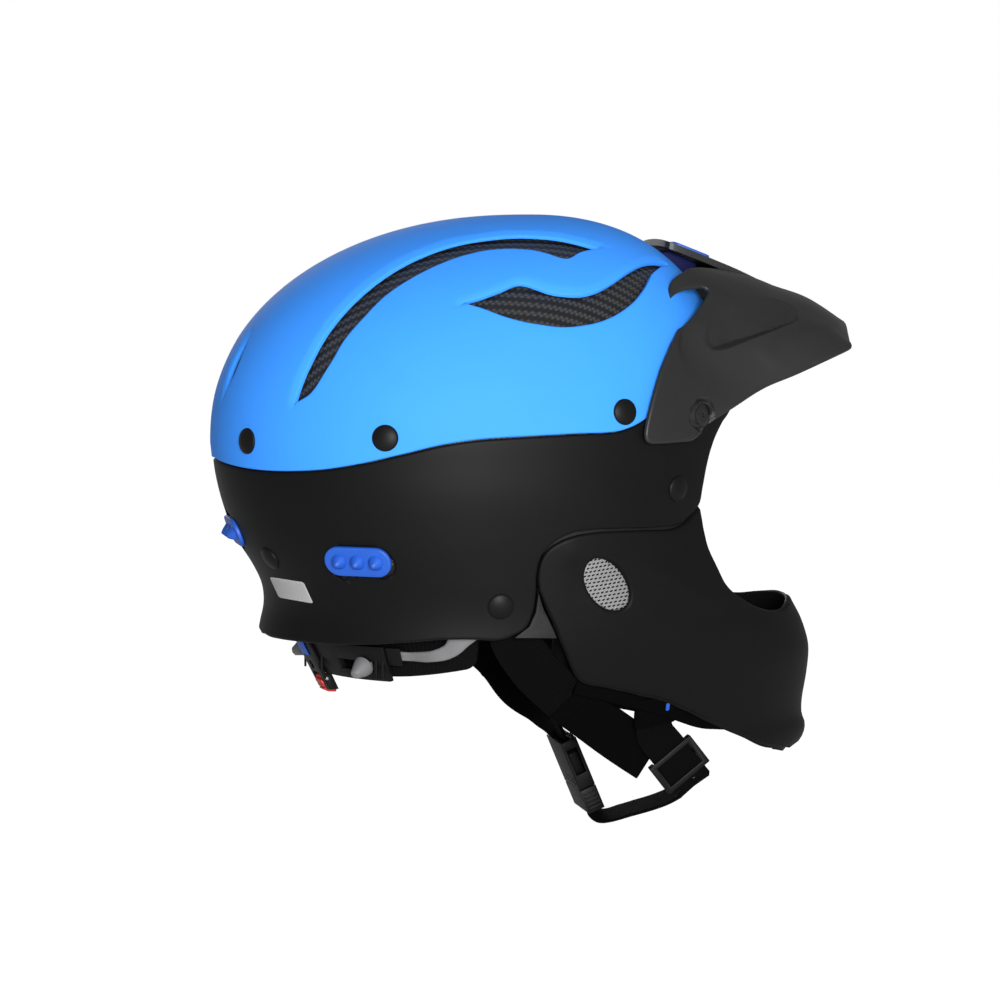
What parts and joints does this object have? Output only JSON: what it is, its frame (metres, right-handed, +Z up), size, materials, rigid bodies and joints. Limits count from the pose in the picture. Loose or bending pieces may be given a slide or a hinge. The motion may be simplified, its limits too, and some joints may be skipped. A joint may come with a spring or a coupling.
{
  "type": "full face helmet",
  "caption": "White-water full face helmet: round shell over carbon, wrapping chin guard, short peak, foam lining, tightening neck cradle and chin strap with a side-release buckle.",
  "frame": {"origin": "middle of the shell, left to right and front to rear, at its widest level, where the head is held", "axes": "+Z up through the crown, -Y out of the face, +X towards the wearer's left"},
  "size_m": [0.2136, 0.3281, 0.3145],
  "materials": {
    "shell_blue": "satin",
    "shell_black": "soft touch",
    "black_plastic": "satin",
    "carbon": "woven, satin",
    "foam": "moulded beads",
    "padding": "soft knit",
    "rubber_blue": "matte",
    "label": "matte",
    "mesh": "satin",
    "grey_plastic": "satin",
    "red_plastic": "satin",
    "webbing": "ribbed weave",
    "metal": "brushed",
    "black_metal": "satin",
    "rubber_black": "matte"
  },
  "bodies": {
    "helmet": {"carbon_shell": "carbon", "top_shell": "shell_blue", "lower_shell": "shell_black", "top_snap_caps": "black_plastic", "lower_snap_caps": "black_plastic", "stud_pad_right": "rubber_blue", "stud_pad_left": "rubber_blue", "stud_pad_rear": "rubber_blue", "label_patch": "label", "chin_guard": "shell_black", "ear_mesh_right": "mesh", "ear_mesh_left": "mesh", "filler_wedge_right": "black_plastic", "filler_wedge_left": "black_plastic", "liner_crown": "foam", "liner_band": "foam", "liner_brow": "foam", "crown_pad": "padding", "brow_pad": "padding", "rear_pad": "padding", "side_pad_right": "padding", "side_pad_left": "padding", "cheek_pad_right": "padding", "cheek_pad_left": "padding", "chin_foam": "padding", "peak_screws": "black_metal", "peak_spacers": "rubber_black", "peak_nuts": "black_metal", "cradle_hanger": "black_plastic", "hanger_rivets": "metal", "cradle_arm_right": "grey_plastic", "cradle_arm_left": "grey_plastic", "arm_rivets": "metal", "rear_anchors": "black_metal", "front_anchors": "black_metal", "rear_strap_right": "webbing", "rear_strap_left": "webbing", "front_strap_right": "webbing", "front_strap_left": "webbing", "chin_strap": "webbing", "buckle_socket": "black_plastic"},
    "peak": {"peak": "black_plastic", "peak_badge": "rubber_blue"},
    "cradle": {"cradle_housing": "black_plastic", "cradle_spine": "black_plastic", "spine_inlay": "rubber_blue", "nape_pad": "padding", "arm_keepers": "black_plastic", "lever_pin": "metal"},
    "fin_right": {"rack_fin_right": "grey_plastic"},
    "fin_left": {"rack_fin_left": "grey_plastic"},
    "lever": {"release_lever": "red_plastic"},
    "slider": {"strap_slider": "black_plastic"},
    "plug": {"buckle_plug": "black_plastic"},
    "prong_a": {"buckle_prong_a": "black_plastic"},
    "prong_b": {"buckle_prong_b": "black_plastic"}
  },
  "joints": [
    {"name": "peak_tilt", "type": "hinge", "parent": "helmet", "child": "peak", "pos_m": [0, -0.0944, 0.0161], "axis": [-1, 0, 0], "range_deg": [-4, 0.5]},
    {"name": "cradle_slide", "type": "slide", "parent": "helmet", "child": "cradle", "axis": [0.1736, -0.9848, 0], "range_m": [0, 0.008], "deforming": ["cradle_arm_right", "cradle_arm_left", "cradle_hanger"]},
    {"name": "fin_right_slide", "type": "hinge", "parent": "cradle", "child": "fin_right", "pos_m": [-0.00208, 0.01182, -0.1], "axis": [0, 0, -1], "range_deg": [0, 5.73]},
    {"name": "fin_left_slide", "type": "hinge", "parent": "cradle", "child": "fin_left", "pos_m": [-0.00208, 0.01182, -0.1], "axis": [0, 0, 1], "range_deg": [0, 5.73]},
    {"name": "release_press", "type": "hinge", "parent": "cradle", "child": "lever", "pos_m": [-0.01417, 0.08036, -0.116], "axis": [-0.9848, -0.1736, 0], "range_deg": [0, 12], "stiffness_Nm_per_rad": 0.01, "springref_deg": -5.73},
    {"name": "slider_travel", "type": "slide", "parent": "helmet", "child": "slider", "axis": [0, 0.6157, 0.788], "range_m": [0, 0.008]},
    {"name": "buckle_release", "type": "slide", "parent": "helmet", "child": "plug", "axis": [0, -0.3843, -0.9232], "range_m": [0, 0.026], "deforming": ["chin_strap"]},
    {"name": "prong_a_squeeze", "type": "hinge", "parent": "plug", "child": "prong_a", "pos_m": [0.033, -0.0632, -0.1844], "axis": [0, -0.9232, 0.3843], "range_deg": [0, 6.7]},
    {"name": "prong_b_squeeze", "type": "hinge", "parent": "plug", "child": "prong_b", "pos_m": [0.017, -0.0632, -0.1844], "axis": [0, 0.9232, -0.3843], "range_deg": [0, 6.7]}
  ],
  "couplings": [
    {"joint": "fin_right_slide", "follows": "cradle_slide", "rad_per_m": 12.5},
    {"joint": "fin_left_slide", "follows": "cradle_slide", "rad_per_m": 12.5},
    {"joint": "prong_a_squeeze", "follows": "buckle_release", "rad_per_m": 4.4971},
    {"joint": "prong_b_squeeze", "follows": "buckle_release", "rad_per_m": 4.4971}
  ]
}
